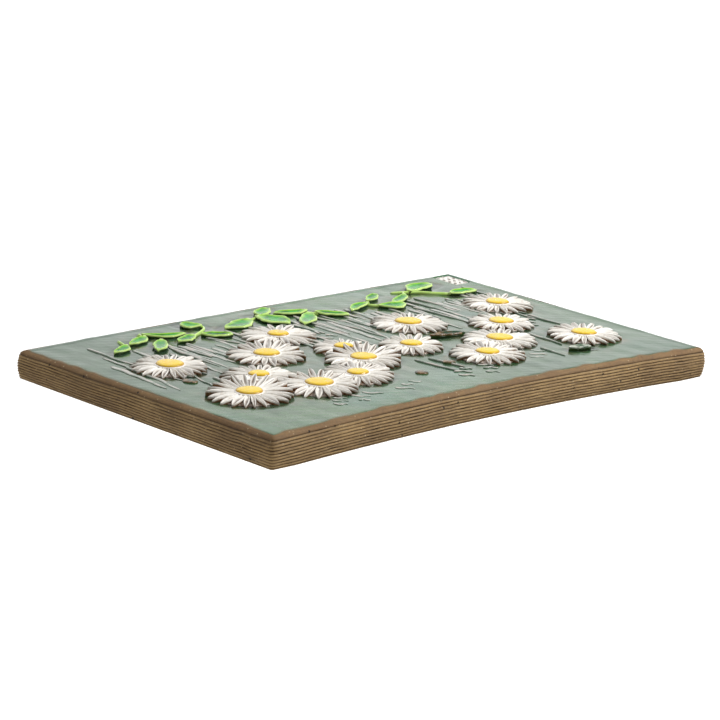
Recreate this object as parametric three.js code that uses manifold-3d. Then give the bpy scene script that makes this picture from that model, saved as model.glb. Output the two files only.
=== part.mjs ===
import * as THREE from 'three';
import { mergeVertices } from 'three/addons/utils/BufferGeometryUtils.js';
import Module from 'manifold-3d';

// Stoneware wall plaque with a modelled daisy field, one fired piece, in millimetres.
// The wall is at +Y and the picture faces -Y, with the top of the picture at +Z.
// The origin is where the nail bears, in the plane of the wall.

// Slab size: it is thickest at the top right corner and thins to the foot and to the left
const plaqueLength = 426;
const plaqueHeight = 268;
const slabThickness = 23.4;
const thinnerAtFoot = 2.7;
const thinnerAtLeft = 1.7;
const cornerRadius = 3;
const sideCrown = 2.2;

// Warp of the slab: the middle of its long sides stands off the wall
const topEdgeRise = 5;
const bottomEdgeRise = 0.8;
const backRiseShare = 0.8;
const flatLandStart = 188;

// Combed ridges around the sides
const ridgeCount = 8;
const ridgePitch = 2.1;
const firstRidge = 2.2;
const grooveDepth = 0.9;

// Hanging slot in the back
const slotAboveCentre = 86;
const slotWidth = 50;
const slotMouthHeight = 10;
const slotDepth = 14.5;
const slotLipDepth = 8.4;
const slotUndercut = 4;

// Pressed stamp panel in the lower left corner
const stampCentre = [-197, -114.5];
const stampSize = [18, 27];
const stampDepth = 0.8;
const stampStrokeHeight = 0.5;

// Relief heights over the face
const embedDepth = 3;
const petalValleyDrop = 1.5;
const discDome = 2.1;
const leafRimHeight = 2.4;
const leafMiddleHeight = 1.5;
const vineHeight = 1.7;
const vineWidth = 2.8;
const grassHeight = 0.9;
const grassWidth = 2.6;
const raisedSide = THREE.MathUtils.degToRad(225);
const raisedFocus = 2.2;

// Daisies: centre, reach of the petals, disc radius, petal count,
// height at the disc, height of the low tips and of the tips on the raised side
const daisies = [
  { x: 157, z: -33.7, reach: 28, disc: 9.9, petals: 22, stand: 3.1, low: 1.9, high: 4.2 },
  { x: 37.4, z: -53.8, reach: 28.6, disc: 7.8, petals: 20, stand: 2.4, low: 1.7, high: 3.6 },
  { x: 81.5, z: -17.4, reach: 28.6, disc: 9.6, petals: 20, stand: 2.7, low: 1.9, high: 6.8 },
  { x: 124.2, z: 21.9, reach: 27.5, disc: 7.5, petals: 20, stand: 2.8, low: 1.7, high: 3.4 },
  { x: 159.4, z: 51.3, reach: 30.6, disc: 9.4, petals: 22, stand: 3.4, low: 2, high: 9.8 },
  { x: 107, z: 64.3, reach: 28.6, disc: 10.1, petals: 20, stand: 3.4, low: 2, high: 7 },
  { x: 66.8, z: 59.9, reach: 27.2, disc: 7.8, petals: 20, stand: 3, low: 1.9, high: 5 },
  { x: 35.9, z: 32.9, reach: 28.4, disc: 9.6, petals: 20, stand: 3.6, low: 2.1, high: 9.2 },
  { x: 24.4, z: 0.5, reach: 23, disc: 7.1, petals: 18, stand: 2.8, low: 1.7, high: 3.4 },
  { x: -20.7, z: 22.7, reach: 24, disc: 8.2, petals: 18, stand: 2.9, low: 1.7, high: 6 },
  { x: -66.7, z: -27.6, reach: 29, disc: 10.1, petals: 22, stand: 2.5, low: 1.7, high: 3.8 },
  { x: -49.8, z: 70.2, reach: 27.9, disc: 8.7, petals: 20, stand: 2.9, low: 1.9, high: 5.2 },
  { x: -88.4, z: 43.9, reach: 27.9, disc: 9.9, petals: 20, stand: 2.6, low: 1.7, high: 3.8 },
  { x: -126.2, z: 7.9, reach: 25.2, disc: 9.4, petals: 18, stand: 2.7, low: 1.7, high: 4 },
  { x: -167.4, z: -37, reach: 27.5, disc: 8.9, petals: 20, stand: 2.8, low: 1.8, high: 4.3 },
  { x: -154.4, z: 64.3, reach: 27.9, disc: 9.6, petals: 20, stand: 2.9, low: 1.9, high: 5 },
];

// Leaves of the vine: base, tip, full width, sideways bend of the midrib
const leaves = [
  { base: [-160, -79], tip: [-186, -77], width: 12, bend: 2 },
  { base: [-138, -101], tip: [-170, -109], width: 16, bend: 3 },
  { base: [-128, -95], tip: [-101, -80], width: 9, bend: 2 },
  { base: [-86, -79], tip: [-109, -74], width: 16, bend: -3 },
  { base: [-86, -90], tip: [-59, -79], width: 9, bend: -2 },
  { base: [-89, -95], tip: [-110, -108], width: 9, bend: -1 },
  { base: [-33, -91], tip: [-49, -71], width: 11, bend: -1 },
  { base: [-28, -91], tip: [-2, -68], width: 13, bend: 1 },
  { base: [-31, -97], tip: [-5, -105], width: 11, bend: 2 },
  { base: [12, -105], tip: [5, -76], width: 21, bend: 2 },
  { base: [9, -104], tip: [-12, -118], width: 12, bend: 2 },
  { base: [22, -101], tip: [54, -91], width: 17, bend: 3 },
  { base: [80, -88], tip: [61, -75], width: 12, bend: -1 },
  { base: [86, -89], tip: [107, -81], width: 11, bend: 1 },
  { base: [64, -106], tip: [72, -120], width: 15, bend: 3 },
  { base: [116, -111], tip: [87, -96], width: 9, bend: -5 },
  { base: [117, -106], tip: [141, -95], width: 10, bend: 2 },
  { base: [114, -92], tip: [135, -71], width: 11, bend: 1 },
  { base: [144, -94], tip: [164, -84], width: 9, bend: 2 },
  { base: [-113, 89.5], tip: [-132.5, 92.5], width: 8.5, bend: 1 },
  { base: [-52.5, 9.5], tip: [-82, 15.5], width: 9, bend: 1 },
];

// Vine and tendrils, as the points they run through
const vines = [
  [[-164, -79], [-152, -89], [-144, -98], [-134, -103], [-125, -107]],
  [[-134, -103], [-129, -97], [-125, -93]],
  [[-90, -80], [-84, -87], [-89, -93], [-92, -97]],
  [[-36, -83], [-30, -93], [-31, -100]],
  [[2, -108], [12, -104], [24, -101]],
  [[88, -88], [82, -91], [73, -96], [65, -102], [62, -110], [64, -117]],
  [[104, -101], [112, -107], [118, -114]],
  [[115, -115], [119, -106]],
  [[140, -109], [144, -95]],
];

// Grass stalks and flower stalks: foot and top
const stalks = [
  [[170, -107], [172, -62]],
  [[122, -72], [126, -16]],
  [[113, -76], [114, -38]],
  [[103, -78], [105, -44]],
  [[81, -80], [72, -56]],
  [[-12, -88], [-10, -28]],
  [[-25, -84], [-27, -12]],
  [[-40, -64], [-40, -40]],
  [[-108, -66], [-111, -12]],
  [[-119, -84], [-121, -32]],
  [[-129, -86], [-131, -40]],
  [[-148, -72], [-146, -56]],
  [[-166, -4], [-167, 36]],
  [[-124, 38], [-122, 74]],
  [[-100, 74], [-98, 100]],
  [[3, 50], [-1, 88]],
  [[-9, 52], [-13, 84]],
  [[148, 2], [150, 20]],
];

// Buds: centre, half length, half width, height
const buds = [
  { x: -13, z: 69, length: 5, width: 4.8, height: 1.6 },
  { x: 24, z: 79.5, length: 5, width: 4.8, height: 1.6 },
  { x: 167.5, z: 0, length: 6, width: 4.8, height: 1.4 },
];

const wasm = await Module();
wasm.setup();

// A fixed scatter between 0 and 1 that makes every petal a little different
function scatter(row, column) {
  const wave = Math.sin(row * 12.9898 + column * 78.233) * 43758.5453;
  return wave - Math.floor(wave);
}

function edgeRise(z) {
  const share = z / plaqueHeight + 0.5;
  return bottomEdgeRise + (topEdgeRise - bottomEdgeRise) * share;
}

function thicknessAt(x, z) {
  const toFoot = 0.5 - z / plaqueHeight;
  const toLeft = 0.5 - x / plaqueLength;
  return slabThickness - thinnerAtFoot * toFoot - thinnerAtLeft * toLeft;
}

// Height of the picture face over the wall at a point of the picture
function faceOut(x, z) {
  const along = (2 * x) / plaqueLength;
  return thicknessAt(x, z) + edgeRise(z) * (1 - along * along);
}

// Height of the hollow back over the wall, flat along both ends
function backOut(x, z) {
  const along = Math.min(1, Math.abs(x) / flatLandStart);
  return backRiseShare * edgeRise(z) * (1 - along * along);
}

// A closed solid from points and triangles
function solidFrom(points, triangles) {
  const vertProperties = new Float32Array(points.flat());
  const triVerts = new Uint32Array(triangles.flat());
  const mesh = new wasm.Mesh({ numProp: 3, vertProperties, triVerts });
  return new wasm.Manifold(mesh);
}

function solidFromGeometry(geometry) {
  const bare = geometry.clone();
  bare.deleteAttribute('normal');
  bare.deleteAttribute('uv');
  const merged = mergeVertices(bare);
  const vertProperties = new Float32Array(merged.attributes.position.array);
  const triVerts = new Uint32Array(merged.index.array);
  const mesh = new wasm.Mesh({ numProp: 3, vertProperties, triVerts });
  return new wasm.Manifold(mesh);
}

// Outline of a side: height up the side and distance out from the base rectangle
function sideProfile() {
  const profile = [[0, -0.9], [0.9, 0.2]];
  for (let i = 0; i < ridgeCount; i += 1) {
    const crest = firstRidge + i * ridgePitch;
    const groove = crest + ridgePitch / 2;
    profile.push([crest, crownAt(crest)]);
    profile.push([groove, crownAt(groove) - grooveDepth]);
  }
  profile.push([19.4, 1.2], [21.3, 0.2], [22.6, -1.3], [slabThickness, -3.4]);
  return profile;
}

function crownAt(height) {
  return sideCrown * Math.sin((Math.PI * height) / slabThickness);
}

// One long side of the slab's outline from left to right, corners included
function longSide(out, side) {
  const centreX = plaqueLength / 2 - sideCrown - cornerRadius;
  const centreZ = plaqueHeight / 2 - sideCrown - cornerRadius;
  const radius = cornerRadius + out;
  const corner = [0, 45, 90].map((angle) => THREE.MathUtils.degToRad(angle));
  const left = corner.map((turn) => [
    -centreX - radius * Math.cos(turn),
    side * (centreZ + radius * Math.sin(turn)),
  ]);
  const middle = [-flatLandStart, -111, -37, 37, 111, flatLandStart].map((x) => [
    x,
    side * (centreZ + radius),
  ]);
  const right = left.map(([x, z]) => [-x, z]).reverse();
  return [...left, ...middle, ...right];
}

function slabRing(height, out) {
  const lower = longSide(out, -1);
  const upper = longSide(out, 1).reverse();
  const share = height / slabThickness;
  return [...lower, ...upper].map(([x, z]) => {
    const back = backOut(x, z);
    const face = faceOut(x, z) - slabThickness;
    return [x, z, height + back + (face - back) * share];
  });
}

// Slab with crowned, combed sides
function makeSlab() {
  const rings = sideProfile().map(([height, out]) => slabRing(height, out));
  const count = rings[0].length;
  const points = rings.flat();
  const triangles = [];
  for (let j = 0; j < rings.length - 1; j += 1) {
    for (let i = 0; i < count; i += 1) {
      const next = (i + 1) % count;
      const low = j * count;
      const high = low + count;
      triangles.push([low + i, low + next, high + next]);
      triangles.push([low + i, high + next, high + i]);
    }
  }
  const top = (rings.length - 1) * count;
  for (let i = 0; i < count / 2 - 1; i += 1) {
    const far = count - 1 - i;
    triangles.push([top + i, top + i + 1, top + far - 1]);
    triangles.push([top + i, top + far - 1, top + far]);
    triangles.push([i, far - 1, i + 1]);
    triangles.push([i, far, far - 1]);
  }
  return solidFrom(points, triangles);
}

// Petal height at a share of its length, raised on one side of the flower
function petalHeight(daisy, turn, share) {
  const toRaised = (0.5 + 0.5 * Math.cos(turn - raisedSide)) ** raisedFocus;
  const tip = daisy.low + (daisy.high - daisy.low) * toRaised;
  return daisy.stand + (tip - daisy.stand) * share ** 1.3;
}

// Stations around the rim of one daisy: a notch, then the rounded end of a petal
function daisyRim(daisy, row) {
  const step = (2 * Math.PI) / daisy.petals;
  const rim = [];
  for (let i = 0; i < daisy.petals; i += 1) {
    const start = (i + 0.35 * (scatter(row, i) - 0.5)) * step;
    const end = (i + 1 + 0.35 * (scatter(row, (i + 1) % daisy.petals) - 0.5)) * step;
    const width = end - start;
    const reach = daisy.reach * (0.93 + 0.07 * scatter(row + 40, i));
    const notch = daisy.disc + (0.42 + 0.16 * scatter(row + 80, i)) * (reach - daisy.disc);
    rim.push({ turn: start, reach: notch, drop: petalValleyDrop });
    rim.push({ turn: start + 0.17 * width, reach: reach * 0.9, drop: 0 });
    rim.push({ turn: start + 0.5 * width, reach, drop: 0.3 });
    rim.push({ turn: start + 0.83 * width, reach: reach * 0.9, drop: 0 });
  }
  return rim;
}

function pointOnDaisy(daisy, turn, reach, height) {
  const x = daisy.x + reach * Math.cos(turn);
  const z = daisy.z + reach * Math.sin(turn);
  return [x, z, faceOut(x, z) + height];
}

// Rings of one daisy, from the sunk foot over the petals to the yellow disc
function daisyRings(daisy, row) {
  const rim = daisyRim(daisy, row);
  const foot = rim.map(({ turn, reach }) => pointOnDaisy(daisy, turn, reach, -embedDepth));
  const edge = rim.map(({ turn, reach, drop }) => {
    const share = (reach - daisy.disc) / (daisy.reach - daisy.disc);
    return pointOnDaisy(daisy, turn, reach, petalHeight(daisy, turn, share) - drop);
  });
  const notches = rim.filter((station, i) => i % 4 === 0);
  const root = notches.map(({ turn }) => pointOnDaisy(daisy, turn, daisy.disc, daisy.stand));
  const every = notches.filter((station, i) => i % 2 === 0);
  const top = daisy.stand + discDome;
  const wall = every.map(({ turn }) => pointOnDaisy(daisy, turn, daisy.disc * 0.95, top - 1.1));
  const crown = every.map(({ turn }) => pointOnDaisy(daisy, turn, daisy.disc * 0.6, top - 0.2));
  return { foot, edge, root, wall, crown, top };
}

// One daisy, sunk a little into the slab
function makeDaisy(daisy, row) {
  const { foot, edge, root, wall, crown, top } = daisyRings(daisy, row);
  const points = [...foot, ...edge, ...root, ...wall, ...crown];
  points.push(pointOnDaisy(daisy, 0, 0, top));
  points.push(pointOnDaisy(daisy, 0, 0, -embedDepth));
  const edgeStart = foot.length;
  const rootStart = edgeStart + edge.length;
  const wallStart = rootStart + root.length;
  const crownStart = wallStart + wall.length;
  const topCentre = points.length - 2;
  const triangles = [];
  for (let i = 0; i < foot.length; i += 1) {
    const next = (i + 1) % foot.length;
    triangles.push([i, next, edgeStart + next]);
    triangles.push([i, edgeStart + next, edgeStart + i]);
    triangles.push([topCentre + 1, next, i]);
  }
  for (let i = 0; i < daisy.petals; i += 1) {
    const petal = edgeStart + 4 * i;
    const nextNotch = edgeStart + ((4 * i + 4) % edge.length);
    const here = rootStart + i;
    const next = rootStart + ((i + 1) % daisy.petals);
    triangles.push([here, petal, petal + 1]);
    triangles.push([here, petal + 1, petal + 2]);
    triangles.push([here, petal + 2, next]);
    triangles.push([next, petal + 2, petal + 3]);
    triangles.push([next, petal + 3, nextNotch]);
  }
  for (let i = 0; i < wall.length; i += 1) {
    const next = (i + 1) % wall.length;
    const outer = rootStart + 2 * i;
    const outerNext = rootStart + ((2 * i + 2) % daisy.petals);
    triangles.push([outer, outer + 1, wallStart + i]);
    triangles.push([wallStart + i, outer + 1, wallStart + next]);
    triangles.push([outer + 1, outerNext, wallStart + next]);
    triangles.push([wallStart + i, wallStart + next, crownStart + next]);
    triangles.push([wallStart + i, crownStart + next, crownStart + i]);
    triangles.push([topCentre, crownStart + i, crownStart + next]);
  }
  return solidFrom(points, triangles);
}

// A dome standing in the face: rings of [share of the radius, height], then a top
function makeDome(x, z, halfLength, halfWidth, rings, topHeight, sides) {
  const points = [];
  const triangles = [];
  rings.forEach(([share, height]) => {
    for (let i = 0; i < sides; i += 1) {
      const turn = (2 * Math.PI * i) / sides;
      const px = x + halfWidth * share * Math.cos(turn);
      const pz = z + halfLength * share * Math.sin(turn);
      points.push([px, pz, faceOut(px, pz) + height]);
    }
  });
  points.push([x, z, faceOut(x, z) + topHeight]);
  points.push([x, z, faceOut(x, z) + rings[0][1]]);
  const topPoint = rings.length * sides;
  const lastRing = (rings.length - 1) * sides;
  for (let i = 0; i < sides; i += 1) {
    const next = (i + 1) % sides;
    for (let j = 0; j < rings.length - 1; j += 1) {
      const low = j * sides;
      const high = low + sides;
      triangles.push([low + i, low + next, high + next]);
      triangles.push([low + i, high + next, high + i]);
    }
    triangles.push([topPoint, lastRing + i, lastRing + next]);
    triangles.push([topPoint + 1, next, i]);
  }
  return solidFrom(points, triangles);
}

function makeBud(bud) {
  const rings = [[1, -embedDepth], [0.95, bud.height * 0.5], [0.6, bud.height * 0.9]];
  return makeDome(bud.x, bud.z, bud.length, bud.width, rings, bud.height, 8);
}

// Leaf with raised rims and a sunk middle, along a slightly bent midrib
function makeLeaf(leaf) {
  const base = new THREE.Vector2(...leaf.base);
  const tip = new THREE.Vector2(...leaf.tip);
  const along = tip.clone().sub(base);
  const across = new THREE.Vector2(-along.y, along.x).normalize();
  const stations = [[0, 0.22], [0.32, 0.9], [0.72, 0.94], [1, 0.15]];
  const points = [];
  const layers = [
    [-1, leafRimHeight],
    [0, leafMiddleHeight],
    [1, leafRimHeight],
    [-1, -2],
    [1, -2],
  ];
  layers.forEach(([side, height]) => {
    stations.forEach(([share, spread]) => {
      const middle = base.clone().addScaledVector(along, share);
      middle.addScaledVector(across, leaf.bend * 4 * share * (1 - share));
      middle.addScaledVector(across, (side * spread * leaf.width) / 2);
      points.push([middle.x, middle.y, faceOut(middle.x, middle.y) + height]);
    });
  });
  const bands = [[0, 1], [1, 2], [3, 0], [2, 4], [4, 3]];
  return solidFrom(points, bandTriangles(stations.length, bands, [0, 1, 2, 4, 3]));
}

// Triangles of a long body made of rows of points: bands between rows, then both ends
function bandTriangles(count, bands, endRows) {
  const triangles = [];
  bands.forEach(([left, right]) => {
    for (let i = 0; i < count - 1; i += 1) {
      const a = left * count + i;
      const b = right * count + i;
      triangles.push([a, b + 1, b]);
      triangles.push([a, a + 1, b + 1]);
    }
  });
  for (let i = 1; i < endRows.length - 1; i += 1) {
    const rows = [endRows[0], endRows[i], endRows[i + 1]];
    const [a, b, c] = rows.map((row) => row * count);
    const last = count - 1;
    triangles.push([a, b, c]);
    triangles.push([a + last, c + last, b + last]);
  }
  return triangles;
}

// Low ridge along a line of points
function makeRidge(line, width, height) {
  const path = line.map(([x, z]) => new THREE.Vector2(x, z));
  const rows = [[], [], []];
  path.forEach((point, i) => {
    const before = path[Math.max(0, i - 1)];
    const after = path[Math.min(path.length - 1, i + 1)];
    const along = after.clone().sub(before).normalize();
    const across = new THREE.Vector2(-along.y, along.x);
    [[-1, -1.2], [0, height], [1, -1.2]].forEach(([side, lift], row) => {
      const place = point.clone().addScaledVector(across, side * width);
      rows[row].push([place.x, place.y, faceOut(place.x, place.y) + lift]);
    });
  });
  const bands = [[0, 1], [1, 2], [2, 0]];
  return solidFrom(rows.flat(), bandTriangles(path.length, bands, [0, 1, 2]));
}

function makeBox(x, z, out, width, height, depth) {
  const box = new THREE.BoxGeometry(width, height, depth);
  box.translate(x, z, out);
  return solidFromGeometry(box);
}

// Blind slot in the back, undercut above its lip for the nail's head
function makeHangingSlot() {
  const mouthZ = slotAboveCentre - slotMouthHeight / 2;
  const mouth = makeBox(0, mouthZ, slotDepth / 2 - 2, slotWidth, slotMouthHeight, slotDepth + 4);
  const pocketDepth = slotDepth - slotLipDepth;
  const pocketZ = slotAboveCentre + slotUndercut / 2 - 1;
  const pocketOut = slotLipDepth + pocketDepth / 2;
  const pocket = makeBox(0, pocketZ, pocketOut, slotWidth, slotUndercut + 2, pocketDepth);
  return mouth.add(pocket);
}

// Rows of plain strokes inside the stamp's shallow panel
function makeStampStrokes() {
  const [x, z] = stampCentre;
  const floor = faceOut(x, z) - stampDepth;
  let strokes = null;
  for (let row = 0; row < 4; row += 1) {
    for (let column = 0; column < 3; column += 1) {
      const strokeX = x - 5 + column * 5;
      const strokeZ = z - 9 + row * 6;
      const length = 2.2 + 1.6 * scatter(row + 7, column);
      const out = floor + stampStrokeHeight / 2 - 0.5;
      const stroke = makeBox(strokeX, strokeZ, out, 1, length, stampStrokeHeight + 1);
      strokes = strokes ? strokes.add(stroke) : stroke;
    }
  }
  return strokes;
}

function makePlaque() {
  const [stampX, stampZ] = stampCentre;
  const stampOut = faceOut(stampX, stampZ) - stampDepth + 5;
  let plaque = makeSlab();
  plaque = plaque.subtract(makeBox(stampX, stampZ, stampOut, stampSize[0], stampSize[1], 10));
  plaque = plaque.add(makeStampStrokes());
  stalks.forEach((line) => {
    plaque = plaque.add(makeRidge(line, grassWidth, grassHeight));
  });
  vines.forEach((line) => {
    plaque = plaque.add(makeRidge(line, vineWidth, vineHeight));
  });
  leaves.forEach((leaf) => {
    plaque = plaque.add(makeLeaf(leaf));
  });
  buds.forEach((bud) => {
    plaque = plaque.add(makeBud(bud));
  });
  daisies.forEach((daisy, row) => {
    plaque = plaque.add(makeDaisy(daisy, row));
  });
  return plaque.subtract(makeHangingSlot());
}

function geometryOf(solid) {
  const mesh = solid.getMesh();
  const geometry = new THREE.BufferGeometry();
  geometry.setAttribute('position', new THREE.BufferAttribute(mesh.vertProperties, 3));
  geometry.setIndex(new THREE.BufferAttribute(mesh.triVerts, 1));
  geometry.computeVertexNormals();
  return geometry;
}

const celadonGlaze = new THREE.MeshStandardMaterial({
  color: 0x8fa79c,
  roughness: 0.22,
  metalness: 0,
});

const plaque = new THREE.Mesh(geometryOf(makePlaque()), celadonGlaze);
plaque.name = 'plaque';
plaque.rotation.x = Math.PI / 2;
plaque.position.z = -slotAboveCentre;

const group = new THREE.Group();
group.add(plaque);

export default group;
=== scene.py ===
import math

import bpy
import numpy as np
from mathutils import Matrix, Vector


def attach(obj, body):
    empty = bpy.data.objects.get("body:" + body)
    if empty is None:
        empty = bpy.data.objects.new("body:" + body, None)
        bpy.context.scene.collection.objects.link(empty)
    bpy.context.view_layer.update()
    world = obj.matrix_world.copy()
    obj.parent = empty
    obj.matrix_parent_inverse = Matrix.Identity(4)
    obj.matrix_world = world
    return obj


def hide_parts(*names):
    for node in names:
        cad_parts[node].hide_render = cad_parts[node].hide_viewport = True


# Stoneware wall plaque with a daisy meadow in relief.
# Points are built in millimetres as (x, z, out): across, up, and away from the wall.
MILLIMETRE = 0.001
WAVE_COUNT = 6

# Slab: thickest at the top right corner, thinner to the foot and to the left
PLAQUE_LENGTH = 426.0
PLAQUE_HEIGHT = 268.0
SLAB_THICKNESS = 23.4
THINNER_AT_FOOT = 2.7
THINNER_AT_LEFT = 1.7
CORNER_RADIUS = 3.0
SIDE_CROWN = 2.2
TOP_EDGE_RISE = 5.0
BOTTOM_EDGE_RISE = 0.8
BACK_RISE_SHARE = 0.8
FLAT_LAND_START = 188.0
OUTLINE_STEP = 1.7

# Comb marks on the sides, and the plain shoulder over them
FIRST_COMB_ROW = 1.3
FIRST_RIDGE = 2.2
RIDGE_PITCH = 2.1
ROWS_PER_RIDGE = 6
LAST_RIDGE = 20.6
COMB_FOOT = 1.0
COMB_TOP = LAST_RIDGE - 0.4
GROOVE_DEPTH = 0.95
GROOVE_WIDTH = 0.38
SHOULDER_HEIGHTS = [18, 19.4, 21.3]
SHOULDER_CRESTS = [1.6, 1.2, 0.2]
BAND_FOOT = 10

# Hanging slot in the back
SLOT_ABOVE_CENTRE = 86.0
SLOT_WIDTH = 50.0
SLOT_MOUTH_HEIGHT = 10.0
SLOT_DEPTH = 14.5
SLOT_LIP_DEPTH = 8.4
SLOT_UNDERCUT = 4.0
SLOT_CUT_START = -5.0
SHARP_CORNER = math.radians(50)

# Glazed field, which reaches a little further at its foot and at its left
FIELD_HALF_WIDTH = 207.0
FIELD_HALF_HEIGHT = 128.0
FIELD_COLUMNS = 345
FIELD_ROWS = 217
FIELD_DEPTH = 1.8
FAR_GLAZE_OVERLAP = 2.2
NEAR_LIP_WIDTH = 4
FAR_LIP_WIDTH = 6

# Stamp panel
STAMP_CENTRE = (-197.0, -114.5)
STAMP_SIZE = (18.0, 27.0)
STAMP_WALL = 0.8
STAMP_DEPTH = 1.4
STAMP_GLAZE_HALF = (7.7, 12.2)
STAMP_GLAZE_DROP = 0.75
STAMP_STROKE_ROWS = 4
STAMP_STROKE_COLUMNS = 3

# Relief, with the levels at which its hidden edges are sunk in the field
RAISED_SIDE = math.radians(225)
RAISED_FOCUS = 2.2
DISC_DOME = 2.1
LEAF_RIM = 2.4
LEAF_MIDDLE = 1.5
VINE_WIDTH = 1.1
VINE_HEIGHT = 1.4
SUNK = -1.2
CORD_SUNK = -1.0

# Daisies: x, z, reach of the petals, disc radius, petal count,
# height at the disc, height of the low tips, height of the tips on the raised side
DAISY_TABLE = [
    (157, -33.7, 28, 9.9, 22, 3.1, 1.9, 4.2),
    (37.4, -53.8, 28.6, 7.8, 20, 2.4, 1.7, 3.6),
    (81.5, -17.4, 28.6, 9.6, 20, 2.7, 1.9, 6.8),
    (124.2, 21.9, 27.5, 7.5, 20, 2.8, 1.7, 3.4),
    (159.4, 51.3, 30.6, 9.4, 22, 3.4, 2, 9.8),
    (107, 64.3, 28.6, 10.1, 20, 3.4, 2, 7),
    (66.8, 59.9, 27.2, 7.8, 20, 3, 1.9, 5),
    (35.9, 32.9, 28.4, 9.6, 20, 3.6, 2.1, 9.2),
    (24.4, 0.5, 23, 7.1, 18, 2.8, 1.7, 3.4),
    (-20.7, 22.7, 24, 8.2, 18, 2.9, 1.7, 6),
    (-66.7, -27.6, 29, 10.1, 22, 2.5, 1.7, 3.8),
    (-49.8, 70.2, 27.9, 8.7, 20, 2.9, 1.9, 5.2),
    (-88.4, 43.9, 27.9, 9.9, 20, 2.6, 1.7, 3.8),
    (-126.2, 7.9, 25.2, 9.4, 18, 2.7, 1.7, 4),
    (-167.4, -37, 27.5, 8.9, 20, 2.8, 1.8, 4.3),
    (-154.4, 64.3, 27.9, 9.6, 20, 2.9, 1.9, 5),
]

# Leaves: base, tip, full width, sideways bend of the midrib,
# and greenness, where -0.6 is silvery and -1 is brown
LEAVES = [
    ((-160, -79), (-186, -77), 12, 2, 0.7),
    ((-138, -101), (-170, -109), 16, 3, 0.6),
    ((-128, -95), (-101, -80), 9, 2, 0.6),
    ((-86, -79), (-109, -74), 16, -3, 0.9),
    ((-86, -90), (-59, -79), 9, -2, 0.9),
    ((-89, -95), (-110, -108), 9, -1, 0.8),
    ((-33, -91), (-49, -71), 11, -1, 0.9),
    ((-28, -91), (-2, -68), 13, 1, 0.9),
    ((-31, -97), (-5, -105), 11, 2, 0.5),
    ((12, -105), (5, -76), 21, 2, 1.0),
    ((9, -104), (-12, -118), 12, 2, 0.8),
    ((22, -101), (54, -91), 17, 3, 1.0),
    ((80, -88), (61, -75), 12, -1, 0.9),
    ((86, -89), (107, -81), 11, 1, 0.8),
    ((64, -106), (72, -120), 15, 3, 0.9),
    ((116, -111), (87, -96), 9, -5, 0.6),
    ((117, -106), (141, -95), 10, 2, 0.7),
    ((114, -92), (135, -71), 11, 1, 0.8),
    ((144, -94), (164, -84), 9, 2, 0.7),
    ((-113, 89.5), (-132.5, 92.5), 8.5, 1, -0.6),
    ((-52.5, 9.5), (-82, 15.5), 9, 1, -1.0),
]

# Vine: the paths of its stems
VINES = [
    [(-164, -79), (-152, -89), (-144, -98), (-134, -103), (-125, -107)],
    [(-134, -103), (-129, -97), (-125, -93)],
    [(-90, -80), (-84, -87), (-89, -93), (-92, -97)],
    [(-36, -83), (-30, -93), (-31, -100)],
    [(2, -108), (12, -104), (24, -101)],
    [(88, -88), (82, -91), (73, -96), (65, -102), (62, -110), (64, -117)],
    [(104, -101), (112, -107), (118, -114)],
    [(115, -115), (119, -106)],
    [(140, -109), (144, -95)],
]

# Stalks: foot and top
STALKS = [
    [(170, -107), (172, -62)],
    [(122, -72), (126, -16)],
    [(113, -76), (114, -38)],
    [(103, -78), (105, -44)],
    [(81, -80), (72, -56)],
    [(-12, -88), (-10, -28)],
    [(-25, -84), (-27, -12)],
    [(-40, -64), (-40, -40)],
    [(-108, -66), (-111, -12)],
    [(-119, -84), (-121, -32)],
    [(-129, -86), (-131, -40)],
    [(-148, -72), (-146, -56)],
    [(-166, -4), (-167, 36)],
    [(-124, 38), (-122, 74)],
    [(-100, 74), (-98, 100)],
    [(3, 50), (-1, 88)],
    [(-9, 52), (-13, 84)],
    [(148, 2), (150, 20)],
]

# Grass blades
GRASS_BLADES = 66
GRASS_START = -188
GRASS_SPAN = 376
GRASS_FOOT = -96

# Ripples in the glaze: x, z and span
RIPPLE_STROKES = 3
RIPPLE_SLANT = 0.71
RIPPLES = [
    (118, 97, 16),
    (95, 99, 13),
    (-4, 91, 14),
    (-28, 94, 12),
    (52, 96, 12),
    (-85, 82, 12),
    (-152, 10, 14),
    (8, -34, 12),
]

# Buds: x, z, half length, half width, height
BUDS = [
    (-13, 69, 5, 4.8, 1.6),
    (24, 79.5, 5, 4.8, 1.6),
    (167.5, 0, 6, 4.8, 1.4),
]

# View of the plaque as it lies on its back
VIEW_TURN = -0.773187
VIEW_DROP = 0.259366
VIEW_ROLL = 0.0523599
VIEW_DISTANCE = 3.11642
VIEW_LENS = 219.47
VIEW_SHIFT = (-0.009496, 0.00485)
VIEW_TARGET = (0.0, -0.012188, -0.085943)
VIEW_PIVOT = (0.213, -0.023, 0.048)

# Studio floor
FLOOR_HALF = 9
FLOOR_LEVEL = -1.3


def scatter(row, column):
    """A fixed scatter between 0 and 1, always the same for a row and a column."""
    wave = math.sin(row * 12.9898 + column * 78.233) * 43758.5453
    return wave - math.floor(wave)


def edge_rise(z):
    """How far the slab bows out in the middle of its length, more at the top."""
    share = z / PLAQUE_HEIGHT + 0.5
    return BOTTOM_EDGE_RISE + (TOP_EDGE_RISE - BOTTOM_EDGE_RISE) * share


def thickness_at(x, z):
    to_foot = 0.5 - z / PLAQUE_HEIGHT
    to_left = 0.5 - x / PLAQUE_LENGTH
    return SLAB_THICKNESS - THINNER_AT_FOOT * to_foot - THINNER_AT_LEFT * to_left


def face_out(x, z):
    """Height of the picture face over the wall."""
    x = np.asarray(x, float)
    z = np.asarray(z, float)
    along = 2 * x / PLAQUE_LENGTH
    return thickness_at(x, z) + edge_rise(z) * (1 - along * along)


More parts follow.
